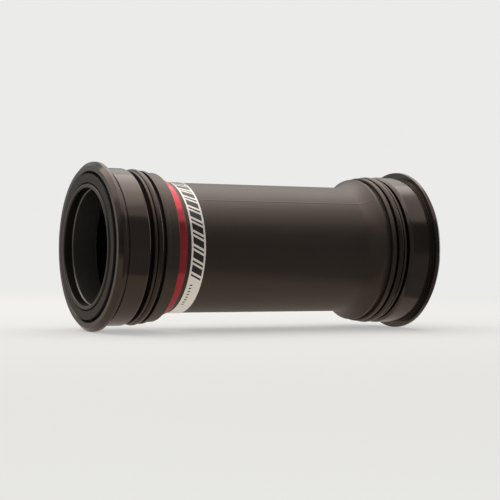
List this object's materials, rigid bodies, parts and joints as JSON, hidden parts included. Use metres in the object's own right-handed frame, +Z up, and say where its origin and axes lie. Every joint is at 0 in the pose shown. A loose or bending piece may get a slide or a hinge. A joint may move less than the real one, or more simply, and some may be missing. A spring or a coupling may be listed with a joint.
{
  "type": "bottom bracket",
  "caption": "Press-fit bicycle bottom bracket: flanged bearing cups joined by a sealed sleeve with a flared end, a collar, a red ring and a label band.",
  "frame": {"origin": "on the spindle axis, midway between the two cup flanges", "axes": "+X along the spindle axis towards the flared end of the sleeve, +Z up; the collar, the red ring and the label are at -X"},
  "size_m": [0.097, 0.044, 0.044],
  "materials": {
    "anodised_cup": "smooth black anodised",
    "dust_cover": "satin moulded black",
    "spindle_ring": "satin moulded black",
    "race_steel": "ground bearing steel",
    "ball_steel": "polished bearing steel",
    "cage_nylon": "moulded nylon",
    "seal_rubber": "black rubber",
    "sleeve_plastic": "fine-grained black moulding",
    "red_ring": "satin crimson",
    "label": "printed film"
  },
  "bodies": {
    "root": {"left_cup": "anodised_cup", "left_dust_cover": "dust_cover", "left_outer_race": "race_steel", "left_outer_bearing_seal": "seal_rubber", "left_inner_bearing_seal": "seal_rubber", "left_spigot_seal": "seal_rubber", "left_shell_o_ring": "seal_rubber", "right_cup": "anodised_cup", "right_dust_cover": "dust_cover", "right_outer_race": "race_steel", "right_outer_bearing_seal": "seal_rubber", "right_inner_bearing_seal": "seal_rubber", "right_spigot_seal": "seal_rubber", "right_shell_o_ring": "seal_rubber", "sleeve": "sleeve_plastic", "left_collar": "sleeve_plastic", "red_ring": "red_ring", "label_band": "label"},
    "left_rotor": {"left_inner_race": "race_steel", "left_spindle_ring": "spindle_ring"},
    "left_ball_set": {"left_balls": "ball_steel", "left_ball_cage": "cage_nylon"},
    "right_rotor": {"right_inner_race": "race_steel", "right_spindle_ring": "spindle_ring"},
    "right_ball_set": {"right_balls": "ball_steel", "right_ball_cage": "cage_nylon"}
  },
  "joints": [
    {"name": "left_spin", "type": "hinge", "parent": "root", "child": "left_rotor", "pos_m": [-0.0426, 0, 0], "axis": [1, 0, 0], "continuous": true},
    {"name": "left_ball_orbit", "type": "hinge", "parent": "root", "child": "left_ball_set", "pos_m": [-0.0426, 0, 0], "axis": [1, 0, 0], "continuous": true},
    {"name": "right_spin", "type": "hinge", "parent": "root", "child": "right_rotor", "pos_m": [0.0426, 0, 0], "axis": [1, 0, 0], "continuous": true},
    {"name": "right_ball_orbit", "type": "hinge", "parent": "root", "child": "right_ball_set", "pos_m": [0.0426, 0, 0], "axis": [1, 0, 0], "continuous": true}
  ],
  "couplings": [
    {"joint": "left_ball_orbit", "follows": "left_spin", "ratio": 0.465},
    {"joint": "right_ball_orbit", "follows": "right_spin", "ratio": 0.465}
  ]
}
